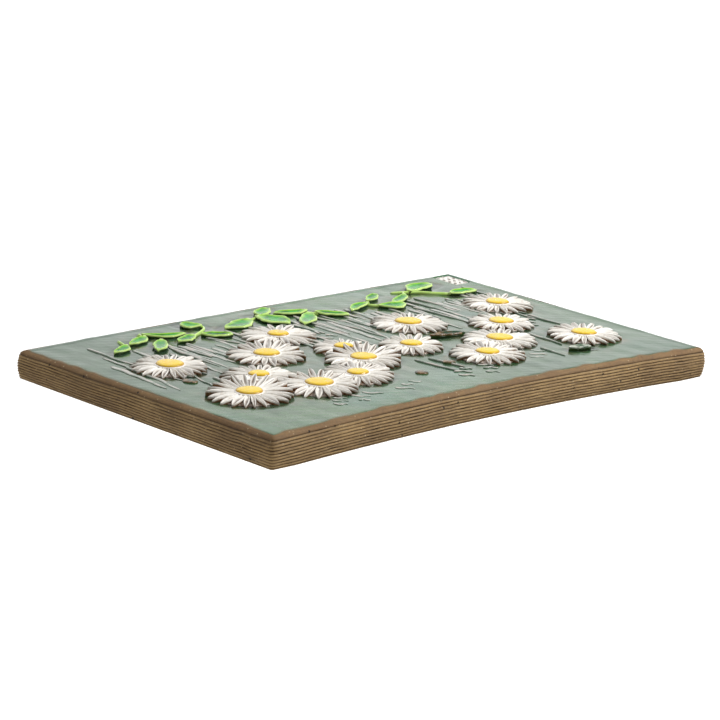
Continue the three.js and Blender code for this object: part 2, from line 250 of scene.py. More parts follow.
def back_out(x, z):
    """Height of the hollow back over the wall."""
    along = np.minimum(1, np.abs(x) / FLAT_LAND_START)
    return BACK_RISE_SHARE * edge_rise(z) * (1 - along * along)


def on_face(x, z, level):
    """Points at a level over the picture face."""
    return np.stack([x, z, face_out(x, z) + level], axis=-1)


def waves(x, z, size, seed):
    """Smooth unevenness of about -1 to 1 with bumps of the given size in millimetres."""
    total = np.zeros_like(np.asarray(x, float))
    for i in range(WAVE_COUNT):
        angle = 2 * math.pi * scatter(seed, i)
        pitch = size * (0.7 + 0.8 * scatter(seed + 11, i))
        phase = 2 * math.pi * scatter(seed + 23, i)
        run = x * math.cos(angle) + z * math.sin(angle)
        total = total + np.sin(2 * math.pi * run / pitch + phase)
    return total / (WAVE_COUNT / 2)


def full_turn(count):
    return np.linspace(0, 2 * math.pi, count, endpoint=False)


def to_metres(points):
    points = np.asarray(points, float)
    columns = [points[:, 0], -points[:, 2], points[:, 1] - SLOT_ABOVE_CENTRE]
    return np.stack(columns, axis=1) * MILLIMETRE


def add_mesh(name, points, faces):
    mesh = bpy.data.meshes.new(name)
    mesh.from_pydata(points, [], faces)
    piece = bpy.data.objects.new(name, mesh)
    bpy.context.scene.collection.objects.link(piece)
    return piece


def make_piece(name, points, faces, material, tints):
    """A smooth mesh piece of the plaque with its named point values."""
    piece = add_mesh(name, to_metres(points).tolist(), faces)
    mesh = piece.data
    for tint, values in tints.items():
        layer = mesh.attributes.new(tint, "FLOAT", "POINT")
        layer.data.foreach_set("value", np.asarray(values, np.float32).ravel())
    mesh.polygons.foreach_set("use_smooth", [True] * len(mesh.polygons))
    mesh.materials.append(material)
    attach(piece, "root")
    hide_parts("plaque")
    return piece


class Body:
    """Closed shells gathered into one piece."""

    def __init__(self, tints):
        self.points = []
        self.faces = []
        self.tints = {tint: [] for tint in tints}
        self.count = 0

    def add(self, points, faces, **tints):
        """Adds a shell; a tint that the body doesn't carry is left out."""
        self.points.append(points)
        self.faces.extend([[self.count + i for i in face] for face in faces])
        self.count += len(points)
        for tint in self.tints:
            values = np.broadcast_to(np.asarray(tints.get(tint, 0.0), float), (len(points),))
            self.tints[tint].append(values)

    def add_tube(self, rows, **tints):
        """Adds a closed tube, its points and the lists among its tints given row by row."""
        stations = len(rows[0])
        for tint, values in tints.items():
            if isinstance(values, list):
                values = [np.broadcast_to(value, stations) for value in values]
                tints[tint] = np.stack(values, axis=1).ravel()
        points = np.stack(rows, axis=1).reshape(-1, 3)
        self.add(points, tube_faces(stations, len(rows)), **tints)

    def piece(self, name, material, slot):
        tints = {tint: np.concatenate(values) for tint, values in self.tints.items()}
        make_piece(name, np.concatenate(self.points), self.faces, material, tints)


def tube_faces(stations, around):
    """Faces of a closed tube whose rows run across, with flat ends."""
    faces = [[a, d, c, b] for a, b, c, d in band_faces(stations, around)]
    faces.append(list(range(around)))
    last = (stations - 1) * around
    faces.append([last + j for j in reversed(range(around))])
    return faces


def band_faces(rings, count):
    """Faces between stacked rings of points, from the foot up."""
    faces = []
    for i in range(rings - 1):
        for j in range(count):
            k = (j + 1) % count
            faces.append([i * count + j, i * count + k, (i + 1) * count + k, (i + 1) * count + j])
    return faces


def cup_faces(rings, count):
    """Faces of stacked rings with the foot closed."""
    return band_faces(rings, count) + [list(reversed(range(count)))]


def drum_faces(rings, count):
    """Faces of stacked rings closed flat at the foot and at the top."""
    top = [(rings - 1) * count + j for j in range(count)]
    return cup_faces(rings, count) + [top]


def mirrored_rows(side, crest):
    """Rows across a tongue: up one side, over the crest and down the other."""
    rows = list(side)
    rows += [(t, 0.0, 1.0) for t in crest]
    rows += [(-t, drop, glaze) for t, drop, glaze in reversed(side)]
    return rows


# Slab

def crown_at(height):
    return SIDE_CROWN * np.sin(math.pi * height / SLAB_THICKNESS)


def comb_row(height):
    """Outward distance and groove share of the combed side at a height."""
    turn = (height - FIRST_RIDGE) / RIDGE_PITCH
    from_groove = abs(turn - math.floor(turn) - 0.5) * RIDGE_PITCH
    groove = math.exp(-(from_groove / GROOVE_WIDTH) ** 2)
    groove *= min(1, (LAST_RIDGE + 3 - height) / 3.5)
    crest = crown_at(height)
    if height >= SHOULDER_HEIGHTS[0]:
        crest = np.interp(height, SHOULDER_HEIGHTS, SHOULDER_CRESTS)
    return crest - GROOVE_DEPTH * groove, groove


def side_profile():
    """Height, outward distance and groove share up one side."""
    rows = [(0.0, -0.9, 0), (0.35, -0.35, 0.2), (0.9, 0.1, 0.3)]
    for height in np.arange(FIRST_COMB_ROW, LAST_RIDGE + 0.01, RIDGE_PITCH / ROWS_PER_RIDGE):
        rows.append((height, *comb_row(height)))
    rows += [(21.0, 0.35, 0.2), (21.5, -0.02, 0), (22.05, -0.65, 0)]
    rows += [(22.6, -1.35, 0), (23.05, -2.2, 0), (23.2, -3.0, 0)]
    rows += [(22.9, -3.6, 0), (20.9, -4.1, 0)]
    return rows


def slab_outline():
    """Points around the base rectangle, the way out at each, and the counts along its sides."""
    half = (PLAQUE_LENGTH / 2 - SIDE_CROWN, PLAQUE_HEIGHT / 2 - SIDE_CROWN)
    across = int(2 * half[0] / OUTLINE_STEP)
    up = int(2 * half[1] / OUTLINE_STEP)
    xs = np.linspace(-half[0], half[0], across + 1)
    zs = np.linspace(-half[1], half[1], up + 1)
    low = [(x, -half[1]) for x in xs[:-1]]
    right = [(half[0], z) for z in zs[:-1]]
    high = [(x, half[1]) for x in xs[:0:-1]]
    left = [(-half[0], z) for z in zs[:0:-1]]
    edge = np.array(low + right + high + left)
    inner = np.array(half) - CORNER_RADIUS
    middle = np.clip(edge, -inner, inner)
    way = edge - middle
    way /= np.linalg.norm(way, axis=1)[:, None]
    return middle, way, across, up


def cap_faces(start, across, up, flip):
    """Faces that close a rectangular ring, strip by strip from left to right."""
    count = 2 * (across + up)
    high = [start + (2 * across + up - i) % count for i in range(across)]
    faces = [[start + i, start + i + 1, high[i + 1], high[i]] for i in range(1, across - 1)]
    faces.append([start + across - 1 + k for k in range(up + 3)])
    faces.append([start + (2 * across + up - 1 + k) % count for k in range(up + 3)])
    if flip:
        faces = [list(reversed(face)) for face in faces]
    return faces


def slab_row(middle, way, height, out, groove):
    """One ring of points around the slab, with its groove and band shares."""
    travel = np.arange(len(middle)) * OUTLINE_STEP
    combed = 1.0 if COMB_FOOT < height < COMB_TOP else 0.0
    lift = combed * (0.25 * waves(travel, 0, 70, 3) + 0.1 * waves(travel, 0, 17, 4))
    rough = 0.12 * waves(travel, height * 9, 9, 5) + 0.08 * waves(travel, height * 21, 3.7, 6)
    torn = np.clip(waves(travel, height * 14, 26, 7) - 0.55, 0, 1) * 0.5 * combed
    fainter = 0.4 * groove * GROOVE_DEPTH * np.clip(waves(travel, height * 3, 60, 8), 0, 1)
    shift = out - 0.15 + rough * (0.4 + 0.6 * combed) - torn + fainter
    shift = np.minimum(shift, (crown_at(height) if combed else out) - 0.03)
    flat = middle + way * np.maximum(CORNER_RADIUS + shift, 0.03)[:, None]
    back = back_out(*flat.T)
    face = face_out(*flat.T) - SLAB_THICKNESS
    share = height / SLAB_THICKNESS
    lifted = lift if 2 < height < LAST_RIDGE else 0
    tall = height + lifted + back + (face - back) * share
    band = 1.0 - combed if height > BAND_FOOT else 0.0
    return np.column_stack([flat, tall]), groove + torn, np.full(len(middle), band)


def make_slab(material):
    middle, way, across, up = slab_outline()
    rows = [slab_row(middle, way, *row) for row in side_profile()]
    points, grooves, bands = [np.concatenate(part) for part in zip(*rows)]
    count = len(middle)
    faces = band_faces(len(rows), count)
    faces += cap_faces(0, across, up, True)
    faces += cap_faces((len(rows) - 1) * count, across, up, False)
    tints = {"groove": grooves, "band": bands}
    slab = make_piece("slab", points, faces, material, tints)
    cut_slot(slab)


def slot_cutter():
    """The solid of the blind hanging slot, undercut above its lip."""
    top = SLOT_ABOVE_CENTRE
    low = top - SLOT_MOUTH_HEIGHT
    high = top + SLOT_UNDERCUT
    profile = [(low, SLOT_CUT_START), (top, SLOT_CUT_START), (top, SLOT_LIP_DEPTH)]
    profile += [(high, SLOT_LIP_DEPTH), (high, SLOT_DEPTH), (low, SLOT_DEPTH)]
    half = SLOT_WIDTH / 2
    points = [(side, z, out) for side in (-half, half) for z, out in profile]
    count = len(profile)
    faces = []
    for i in range(count):
        k = (i + 1) % count
        faces.append([k, k + count, i + count, i])
    faces += [list(reversed(range(count))), list(range(count, 2 * count))]
    return add_mesh("slot_cutter", to_metres(points).tolist(), faces)


def cut_slot(slab):
    """Cuts the hanging slot into the back."""
    cutter = slot_cutter()
    cut = slab.modifiers.new("slot", "BOOLEAN")
    cut.operation = "DIFFERENCE"
    cut.solver = "EXACT"
    cut.object = cutter
    bpy.context.view_layer.update()
    graph = bpy.context.evaluated_depsgraph_get()
    result = bpy.data.meshes.new_from_object(slab.evaluated_get(graph))
    result.set_sharp_from_angle(angle=SHARP_CORNER)
    slab.modifiers.clear()
    slab.data = result
    bpy.data.objects.remove(cutter)


# Glazed field

def relief_distance(x, z):
    """Distance from the nearest daisy or leaf, below zero under it."""
    nearest = np.full(x.shape, 1e3)
    for daisy in DAISIES:
        away = np.hypot(x - daisy.x, z - daisy.z) - daisy.reach * 0.95
        nearest = np.minimum(nearest, away)
    for leaf in LEAVES:
        base, tip, width = leaf[:3]
        away = line_distance(x, z, base, tip) - width * 0.42
        nearest = np.minimum(nearest, away)
    return nearest


def line_distance(x, z, start, end):
    """Distance from the straight line between two points."""
    run = np.array(end, float) - start
    share = ((x - start[0]) * run[0] + (z - start[1]) * run[1]) / (run @ run)
    share = np.clip(share, 0, 1)
    return np.hypot(x - start[0] - share * run[0], z - start[1] - share * run[1])


def stamp_depth(x, z):
    """Depth of the pressed panel, 0 around it."""
    inside_x = np.abs(x - STAMP_CENTRE[0]) < STAMP_SIZE[0] / 2 - STAMP_WALL
    inside_z = np.abs(z - STAMP_CENTRE[1]) < STAMP_SIZE[1] / 2 - STAMP_WALL
    return np.where(inside_x & inside_z, STAMP_DEPTH, 0.0)


def field_height(x, z):
    """Unevenness of the glazed face over the true face."""
    swell = 0.22 * waves(x, z, 90, 31) + 0.1 * waves(x, z, 24, 32) + 0.035 * waves(x, z, 8, 33)
    near = np.exp(-(np.clip(relief_distance(x, z), 0, 30) / 2.5) ** 2)
    return swell - 0.35 * near - stamp_depth(x, z) - 0.3


def edge_share(place, width, half):
    """0 inside the field, rising to 1 over the given width up to the edge at place 1."""
    return np.maximum(place - 1 + width / half, 0) * half / width


def lip_share(u, v, width):
    """The edge share of a point on the field, over both directions."""
    return np.maximum(edge_share(u, width, FIELD_HALF_WIDTH), edge_share(v, width, FIELD_HALF_HEIGHT))


def field_surface():
    """Points of the glazed face, row by row from the foot."""
    u, v = np.meshgrid(np.linspace(-1, 1, FIELD_COLUMNS), np.linspace(-1, 1, FIELD_ROWS))
    wander_x = 0.3 * waves(v * FIELD_HALF_HEIGHT, 0, 31, 41) * np.sign(u)
    wander_z = 0.3 * waves(u * FIELD_HALF_WIDTH, 0, 37, 42) * np.sign(v)
    x = u * (FIELD_HALF_WIDTH + FAR_GLAZE_OVERLAP * (u < 0) + wander_x)
    z = v * (FIELD_HALF_HEIGHT + FAR_GLAZE_OVERLAP * (v < 0) + wander_z)
    near_lip = lip_share(u, v, NEAR_LIP_WIDTH)
    out = face_out(x, z) + field_height(x, z) - 0.45 * near_lip ** 3
    far_lip = lip_share(-u, -v, FAR_LIP_WIDTH)
    out = out + np.interp(far_lip, [0, 0.35, 0.6, 0.8, 1], [0, 0.3, 0.3, 0.1, -0.5])
    return np.column_stack([x.ravel(), z.ravel(), out.ravel()])


def grid_faces(columns, rows):
    faces = []
    for i in range(rows - 1):
        for j in range(columns - 1):
            a = i * columns + j
            faces.append([a, a + 1, a + columns + 1, a + columns])
    return faces


def grid_edge(columns, rows):
    """Indices once around a grid, starting along its first row."""
    ring = list(range(columns))
    ring += [i * columns + columns - 1 for i in range(1, rows)]
    ring += [(rows - 1) * columns + j for j in range(columns - 2, -1, -1)]
    ring += [i * columns for i in range(rows - 2, 0, -1)]
    return ring


def meadow_share(x, z):
    """1 among the stalks, 0 on the plain glaze around them."""
    inside = np.clip((100 - np.abs(z + 5)) / 20, 0, 1) * np.clip((195 - np.abs(x)) / 20, 0, 1)
    return inside * (0.6 + 0.4 * np.clip(waves(x, z, 40, 51) + 0.5, 0, 1))


def field_tints(x, z):
    """Shares of the pools, halo, meadow, painted corner shade and thin lip."""
    distance = relief_distance(x, z)
    from_edge = np.minimum(FIELD_HALF_WIDTH - x, FIELD_HALF_HEIGHT - z) + 1.5 * waves(x, z, 24, 62)
    corners = x * z / (PLAQUE_LENGTH * PLAQUE_HEIGHT / 4)
    return {
        "pool": np.exp(-(np.clip(distance, 0, 40) / 2.2) ** 2),
        "halo": np.exp(-(np.clip(distance, 0, 60) / 9.0) ** 2),
        "meadow": meadow_share(x, z),
        # painted shade: darker towards two opposite corners, where the face reflects less light
        "painted_corner_shade": np.clip(0.25 - corners + 0.2 * waves(x, z, 110, 61), 0, 1),
        "lip": np.exp(-np.clip(from_edge, 0, 30) / 1.8),
    }


def make_field(material):
    """Glaze layer over the whole picture face."""
    top = field_surface()
    ring = grid_edge(FIELD_COLUMNS, FIELD_ROWS)
    under = top[ring].copy()
    under[:, 2] = face_out(under[:, 0], under[:, 1]) - FIELD_DEPTH
    faces = grid_faces(FIELD_COLUMNS, FIELD_ROWS)
    start = len(top)
    count = len(ring)
    for k in range(count):
        m = (k + 1) % count
        faces.append([start + k, start + m, ring[m], ring[k]])
    faces += cap_faces(start, FIELD_COLUMNS - 1, FIELD_ROWS - 1, True)
    points = np.concatenate([top, under])
    tints = field_tints(points[:, 0], points[:, 1])
    make_piece("field", points, faces, material, tints)


# Daisies

class Daisy:
    """One flower: its place, its reach and the heights of its petals."""

    def __init__(self, x, z, reach, disc, petals, stand, low, high):
        self.x, self.z = x, z
        self.reach, self.disc, self.petals = reach, disc, petals
        self.stand, self.low, self.high = stand, low, high

    def place(self, radius, turn):
        """Point at a distance and an angle from the middle."""
        return self.x + radius * np.cos(turn), self.z + radius * np.sin(turn)

    def share(self, radius):
        """0 at the rim of the disc, 1 at the reach of the petals."""
        return (radius - self.disc) / (self.reach - self.disc)


DAISIES = [Daisy(*values) for values in DAISY_TABLE]

# Rows across a petal: place between its edges, drop below the crest, share of white glaze.
# The first and the last row are sunk in the field.
PETAL_SIDE = [(-0.8, None, 0.0), (-0.96, 1.9, 0.12), (-1.0, 0.7, 0.42)]
PETAL_CREST = [-0.985, -0.9, -0.76, -0.5, -0.2, 0.2, 0.5, 0.76, 0.9, 0.985]

# Rings of the cushion: share of the reach and drop below the petals
CUSHION_RINGS = [(0.8, None), (0.81, 3.4), (0.74, 3.0), (0.62, 2.3), (0.45, 1.8), (0.3, 1.7)]

# Rings of the disc: share of its radius and height
DISC_RINGS = [(0.9, -1.5), (0.99, 0.0), (1.0, 0.5), (0.97, 0.95), (0.9, 1.35)]
DISC_RINGS += [(0.8, 1.62), (0.66, 1.82), (0.5, 1.95), (0.34, 2.02), (0.18, 2.05)]


def petal_height(daisy, turn, share):
    """Height of the petals at an angle, from the disc at share 0 to the tips at 1."""
    raised = (0.5 + 0.5 * np.cos(turn - RAISED_SIDE)) ** RAISED_FOCUS
    tip = daisy.low + (daisy.high - daisy.low) * raised
    return daisy.stand + (tip - daisy.stand) * np.clip(share, 0, 1) ** 1.3


def petal_span(daisy, row, index):
    """Start angle, end angle and reach of one petal."""
    step = 2 * math.pi / daisy.petals
    start = (index + 0.35 * (scatter(row, index) - 0.5)) * step
    end = (index + 1 + 0.35 * (scatter(row, (index + 1) % daisy.petals) - 0.5)) * step
    reach = daisy.reach * (0.93 + 0.07 * scatter(row + 40, index))
    return start, end, reach


def petal_width(share, reach, spread, radius, point):
    """Half width along one petal, filling its sector at the root, blunt or pointed at the tip."""
    rounding = np.clip(1 - (np.clip(share - 0.5, 0, 1) / 0.505) ** 2, 0.012, 1)
    round_tip = rounding ** (0.55 + 0.4 * point)
    full = spread * reach * 0.54
    sector = spread * radius * 0.92
    return np.minimum(sector, full) * round_tip


def petal_line(daisy, row, index, share):
    """Radius, turn, half width and height along the middle of one petal."""
    start, end, reach = petal_span(daisy, row, index)
    spread = (end - start) / 2
    root = daisy.disc * 0.86
    radius = root + (reach - root) * share
    turn = (start + end) / 2 + 0.06 * (scatter(row + 5, index) - 0.5) * share ** 2
    width = petal_width(share, reach, spread, radius, scatter(row + 71, index))
    height = petal_height(daisy, turn, daisy.share(radius))
    curl = 1.3 * (scatter(row + 17, index) - 0.6)
    height = height - 0.3 + curl * share ** 3 + 0.6 * (index % 2) * np.sin(math.pi * share)
    height = height - 0.9 * np.clip((share - 0.7) / 0.3, 0, 1) ** 2
    return radius, turn, width * (0.84 + 0.22 * scatter(row + 33, index)), height


def petal_relief(t, streak):
    """Rise of the rim less the dip of the cup and of the outer edge, across a petal."""
    rim = 0.7 * np.exp(-((abs(t) - 0.8) / 0.15) ** 2)
    cup = 1.1 * (1 - t * t) + 0.4 * math.exp(-((t - streak) / 0.2) ** 2)
    edge = 0.5 * np.clip((abs(t) - 0.84) / 0.16, 0, 1) ** 2
    return rim - cup - edge


def add_petal(body, daisy, row, index):
    """One tongue with raised edges and a sunk middle, with painted shade along one streak of it and toward
    its tip.
    """
    share = np.linspace(0, 1, 19) ** 0.85
    radius, turn, width, height = petal_line(daisy, row, index, share)
    size = np.clip(width / 2.2, 0, 1)
    tilt = 2.0 * (scatter(row + 29, index) - 0.5)
    streak = 0.4 * (scatter(row + 51, index) - 0.5)
    thin = 0.8 + 0.4 * scatter(row + 61, index)
    along = np.clip(share * 2.6 - 0.4, 0, 1)
    tip = 0.45 * np.clip((share - 0.84) / 0.16, 0, 1)
    rows = mirrored_rows(PETAL_SIDE, PETAL_CREST)
    points = []
    cups = []
    for t, drop, glaze in rows:
        level = height + size * petal_relief(t, streak) + tilt * t * share * size
        level = np.full_like(level, SUNK) if drop is None else np.maximum(level - drop, -0.6)
        x, z = daisy.place(radius, turn)
        x = x - t * width * np.sin(turn)
        z = z + t * width * np.cos(turn)
        points.append(on_face(x, z, level))
        # cup tint: painted shade along the streak and toward the tip
        cups.append(thin * np.maximum(math.exp(-((t - streak) / 0.4) ** 2) * along, tip))
    body.add_tube(points, top=[glaze for t, drop, glaze in rows], cup=cups)


def add_cushion(body, daisy):
    """Low round body of clay that carries the petals and shows between them."""
    count = 72
    turns = full_turn(count)
    points = []
    for share, drop in CUSHION_RINGS:
        radius = daisy.reach * share * (1 + 0.02 * waves(turns * 10, 0, 4, 88))
        x, z = daisy.place(radius, turns)
        level = petal_height(daisy, turns, daisy.share(radius))
        level = np.full(count, SUNK) if drop is None else np.maximum(level - drop, 0.1)
        points.append(on_face(x, z, level))
    body.add(np.concatenate(points), drum_faces(len(CUSHION_RINGS), count), top=0.3)


def add_ring(body, daisy):
    """White ring of glaze where the petals meet the disc."""
    around = 48
    across = 8
    turn, roll = np.meshgrid(full_turn(around), full_turn(across), indexing="ij")
    x, z = daisy.place(daisy.disc + 0.1 + 0.9 * np.cos(roll), turn)
    level = daisy.stand - 0.4 + 0.7 * np.sin(roll)
    count = around * across
    faces = [[a, d % count, c % count, b] for a, b, c, d in band_faces(around + 1, across)]
    body.add(on_face(x, z, level).reshape(-1, 3), faces, top=1.0)


def add_disc(body, daisy, row):
    """Domed yellow centre."""
    count = 56
    turns = full_turn(count)
    points = []
    rims = []
    for share, height in DISC_RINGS:
        x, z = daisy.place(daisy.disc * share * (1 + 0.025 * np.sin(3 * turns + row)), turns)
        bump = 0.1 * waves(x, z, 3.1, row + 71) * min(1, max(0, height))
        points.append(on_face(x, z, daisy.stand + height - 0.15 + bump))
        rims.append(np.full(count, share))
    top = float(face_out(daisy.x, daisy.z)) + daisy.stand + DISC_DOME - 0.2
    points = np.concatenate(points + [np.array([[daisy.x, daisy.z, top]])])
    faces = cup_faces(len(DISC_RINGS), count)
    last = (len(DISC_RINGS) - 1) * count
    for j in range(count):
        faces.append([last + j, last + (j + 1) % count, len(points) - 1])
    body.add(points, faces, rim=np.concatenate(rims + [np.zeros(1)]))


def make_daisies(petal_glaze, disc_glaze):
    for row, daisy in enumerate(DAISIES):
        petals = Body(("top", "cup"))
        for index in range(daisy.petals):
            add_petal(petals, daisy, row, index)
        add_cushion(petals, daisy)
        add_ring(petals, daisy)
        petals.piece(f"petals_{row + 1:02d}", petal_glaze, "petal_glaze")
        disc = Body(("rim",))
        add_disc(disc, daisy, row)
        disc.piece(f"disc_{row + 1:02d}", disc_glaze, "centre_glaze")


# Leaves, vine, stalks and buds

# Width along a leaf, from base to tip
LEAF_SHARES = [0, 0.1, 0.2, 0.35, 0.5, 0.65, 0.8, 0.9, 0.96, 1]
LEAF_WIDTHS = [0.16, 0.4, 0.7, 0.95, 1, 0.93, 0.72, 0.45, 0.24, 0.05]

# Rows across a leaf, given as for a petal
LEAF_SIDE = [(-0.8, None, 0.0), (-0.96, 1.2, 0.0), (-1.0, 0.5, 0.4)]
LEAF_CREST = np.linspace(-1, 1, 15) * 0.985

# Rings of a bud: share of its size and rise
BUD_RINGS = [(1.0, SUNK), (1.0, 0.1), (0.96, 0.45), (0.85, 0.72), (0.65, 0.9), (0.4, 0.98), (0.15, 1.0)]


def leaf_frame(leaf, row, share):
    """Midrib of a leaf, the way across it, and its half widths: even, left and right."""
    base, tip, width, bend = leaf[:4]
    base = np.array(base, float)
    along = np.array(tip, float) - base
    across = np.array([-along[1], along[0]]) / np.linalg.norm(along)
    line = base + along * share[:, None]
    line = line + across * (bend * 4 * share * (1 - share))[:, None]
    half = np.interp(share, LEAF_SHARES, LEAF_WIDTHS) * width / 2
    left = half * (1.05 + 0.1 * np.sin(share * 9 + row) + 0.05 * np.sin(share * 23 + 2 * row))
    right = half * (0.95 + 0.1 * np.sin(share * 10 + 3 * row) + 0.05 * np.sin(share * 21 + row))
    return line, across, half, left, right


def leaf_level(t, share, half):
    """Height of a leaf over the face, with a raised rim and a sunk middle."""
    size = np.clip(half / 3.5, 0, 1)
    rim = np.exp(-((abs(t) - 0.84) / 0.15) ** 2)
    cup = (LEAF_RIM - LEAF_MIDDLE) * np.clip(1 - (t / 0.8) ** 2, 0, 1)
    cup = cup * np.sin(math.pi * np.clip(share, 0.08, 0.92))
    edge = 0.5 * np.clip((abs(t) - 0.86) / 0.14, 0, 1) ** 2
    level = LEAF_RIM - 0.25 + size * (0.2 * rim - cup - edge)
    return level - 0.8 * np.clip((share - 0.9) / 0.1, 0, 1) ** 2


def add_leaf(body, leaf, row):
    share = np.linspace(0, 1, 26)
    line, across, half, left, right = leaf_frame(leaf, row, share)
    rows = mirrored_rows(LEAF_SIDE, LEAF_CREST)
    points = []
    rims = []
    for t, drop, glaze in rows:
        level = leaf_level(t, share, half)
        level = np.full_like(level, SUNK) if drop is None else level - drop
        flat = line + across * (t * (left if t < 0 else right))[:, None]
        points.append(on_face(*flat.T, level))
        rims.append(np.maximum(abs(t), np.abs(share - 0.5) * 1.9))
    body.add_tube(points, top=[glaze for t, drop, glaze in rows], rim=rims, green=leaf[4])


def smooth_line(line, steps):
    """Rounded path through the given points."""
    line = np.array(line, float)
    padded = np.vstack([2 * line[0] - line[1], line, 2 * line[-1] - line[-2]])
    path = []
    for i in range(1, len(padded) - 2):
        a, b, c, d = padded[i - 1:i + 3]
        for k in range(steps):
            t = k / steps
            point = 0.5 * (2 * b + (c - a) * t + (2 * a - 5 * b + 4 * c - d) * t ** 2
                           + (3 * b - a - 3 * c + d) * t ** 3)
            path.append(point)
    path.append(line[-1])
    return np.array(path)


def add_cord(body, path, width, height, taper, **tints):
    """Rounded ridge of clay along a path, its foot tint growing towards both sides."""
    along = np.gradient(path, axis=0)
    along /= np.linalg.norm(along, axis=1)[:, None]
    across = np.column_stack([-along[:, 1], along[:, 0]])
    share = np.linspace(0, 1, len(path))
    thin = 1 - taper * share ** 2
    ends = np.sqrt(np.clip(1 - (np.abs(share - 0.5) * 2) ** 12, 0.02, 1))
    angles = np.linspace(0, math.pi, 9)
    rows = [(-1.0, -1.0)] + [(-math.cos(a), math.sin(a)) for a in angles] + [(1.0, -1.0)]
    points = []
    for t, lift in rows:
        flat = path + across * (t * width * thin * ends)[:, None]
        level = lift * height * thin * ends if lift >= 0 else np.full(len(path), CORD_SUNK)
        points.append(on_face(*flat.T, level))
    body.add_tube(points, foot=[abs(t) for t, lift in rows], **tints)


def make_leaves(material):
    body = Body(("top", "rim", "green"))
    for row, leaf in enumerate(LEAVES):
        add_leaf(body, leaf, row)
    for line in VINES:
        path = smooth_line(line, 8)
        add_cord(body, path, VINE_WIDTH, VINE_HEIGHT, 0.3, top=1.0, rim=0.9, green=0.4)
    body.piece("leaves", material, "leaf_glaze")


def add_stalks(body):
    for row, line in enumerate(STALKS):
        path = smooth_line(line, 24)
        path[:, 0] += 0.5 * waves(path[:, 1], 0, 22, row + 90)
        add_cord(body, path, 1.5, 0.8, 0.5)


def add_grass(body):
    """Low blades of grass along the whole plaque, leaning to the right."""
    for blade in range(GRASS_BLADES):
        x = GRASS_START + GRASS_SPAN * (blade + scatter(blade, 1)) / GRASS_BLADES
        foot = GRASS_FOOT + 50 * scatter(blade, 2)
        top = foot + 26 + 50 * scatter(blade, 3)
        lean = (top - foot) * (0.2 * scatter(blade, 4) - 0.02)
        path = smooth_line([(x, foot), (x + lean * 0.3, (foot + top) / 2), (x + lean, top)], 12)
        path[:, 0] += 0.6 * waves(path[:, 1], 0, 18, blade)
        add_cord(body, path, 1.0 + 1.5 * scatter(blade, 5), 0.28, 0.5)


def add_ripples(body, row, x, z, span):
    """Short wavy strokes side by side, slanting up to the left."""
    steps = np.linspace(-0.5, 0.5, 16)
    for k in range(RIPPLE_STROKES):
        length = span * (0.6 + 0.6 * scatter(row, k))
        wave = 1.1 * np.sin(steps * 8 + 6 * scatter(row + 3, k))
        along = RIPPLE_SLANT * (steps * length + 8 * (scatter(row + 9, k) - 0.5))
        aside = RIPPLE_SLANT * (wave + 9 * (k - 1 + 0.4 * scatter(row + 13, k)))
        add_cord(body, np.column_stack([x - along + aside, z + along + aside]), 1.6, 0.25, 0.4)


def make_stalks(material):
    """Stalks, the grass between them and the ripples in the glaze."""
    body = Body(("foot",))
    add_stalks(body)
    add_grass(body)
    for row, ripple in enumerate(RIPPLES):
        add_ripples(body, row, *ripple)
    body.piece("stalks", material, "field_glaze")


def add_bud(body, row, x, z, length, width, height):
    """Low oval bud with a few scales pressed into it."""
    count = 28
    turns = full_turn(count)
    points = []
    rims = []
    for share, rise in BUD_RINGS:
        px = x + width * share * np.cos(turns) * (1 + 0.05 * np.sin(2 * turns + row))
        pz = z + length * share * np.sin(turns)
        scale = 0.12 * np.cos(5 * turns) * share
        level = rise * (height - 0.4) + scale if rise > 0 else np.full(count, rise)
        points.append(on_face(px, pz, level))
        rims.append(np.full(count, share + 0.1 * (rise <= 0.1)))
    tops = np.clip(3.2 * (1.1 - np.concatenate(rims)), 0, 1)
    faces = drum_faces(len(BUD_RINGS), count)
    body.add(np.concatenate(points), faces, top=tops, rim=0.4, green=-1.0)


def make_buds(material):
    body = Body(("top", "rim", "green"))
    for row, bud in enumerate(BUDS):
        add_bud(body, row, *bud)
    body.piece("buds", material, "leaf_glaze")


# Stamp panel

# Rows across the pooled glaze: place between its edges and rise
PLATE_ROWS = [(-1, -1.5), (-1, -0.4), (-0.93, -0.05), (-0.6, 0.08), (0, 0.12)]
PLATE_ROWS += [(0.6, 0.08), (0.93, -0.05), (1, -0.4), (1, -1.5)]


def upright(x, low, high, steps):
    return np.column_stack([np.full(steps, x), np.linspace(low, high, steps)])


def add_plate(body, path, half, level):
    """Flat pool of glaze along a path."""
    steps = np.arange(len(path))
    ends = np.minimum(1, np.minimum(steps, steps[::-1]) / 1.5)
    points = []
    for t, lift in PLATE_ROWS:
        x = path[:, 0] + t * half + 0.2 * waves(path[:, 1], 0, 9, 77)
        out = level + lift - 0.5 * (1 - ends) + 0.1 * waves(x, path[:, 1], 6, 78)
        points.append(np.stack([x, path[:, 1], out], axis=1))
    body.add_tube(points, top=1.0, cup=0.1)


def make_stamp(material):
    """White glaze pooled in the pressed panel, over rows of plain strokes."""
    body = Body(("top", "cup"))
    x, z = STAMP_CENTRE
    half_width, half_height = STAMP_GLAZE_HALF
    level = float(face_out(x, z)) - STAMP_GLAZE_DROP
    add_plate(body, upright(x, z - half_height, z + half_height, 24), half_width, level)
    for row in range(STAMP_STROKE_ROWS):
        for column in range(STAMP_STROKE_COLUMNS):
            length = 2.2 + 1.6 * scatter(row + 7, column)
            foot = z - 9 + row * 6 - length / 2
            path = upright(x - 5 + column * 5, foot, foot + length, 6)
            # cup tint: painted shade in the sunk strokes
            add_cord(body, path, 0.5, -0.1, 0, top=0.9, cup=0.15 + 0.6 * scatter(row, column))
    body.piece("stamp_panel", material, "petal_glaze")


# Materials

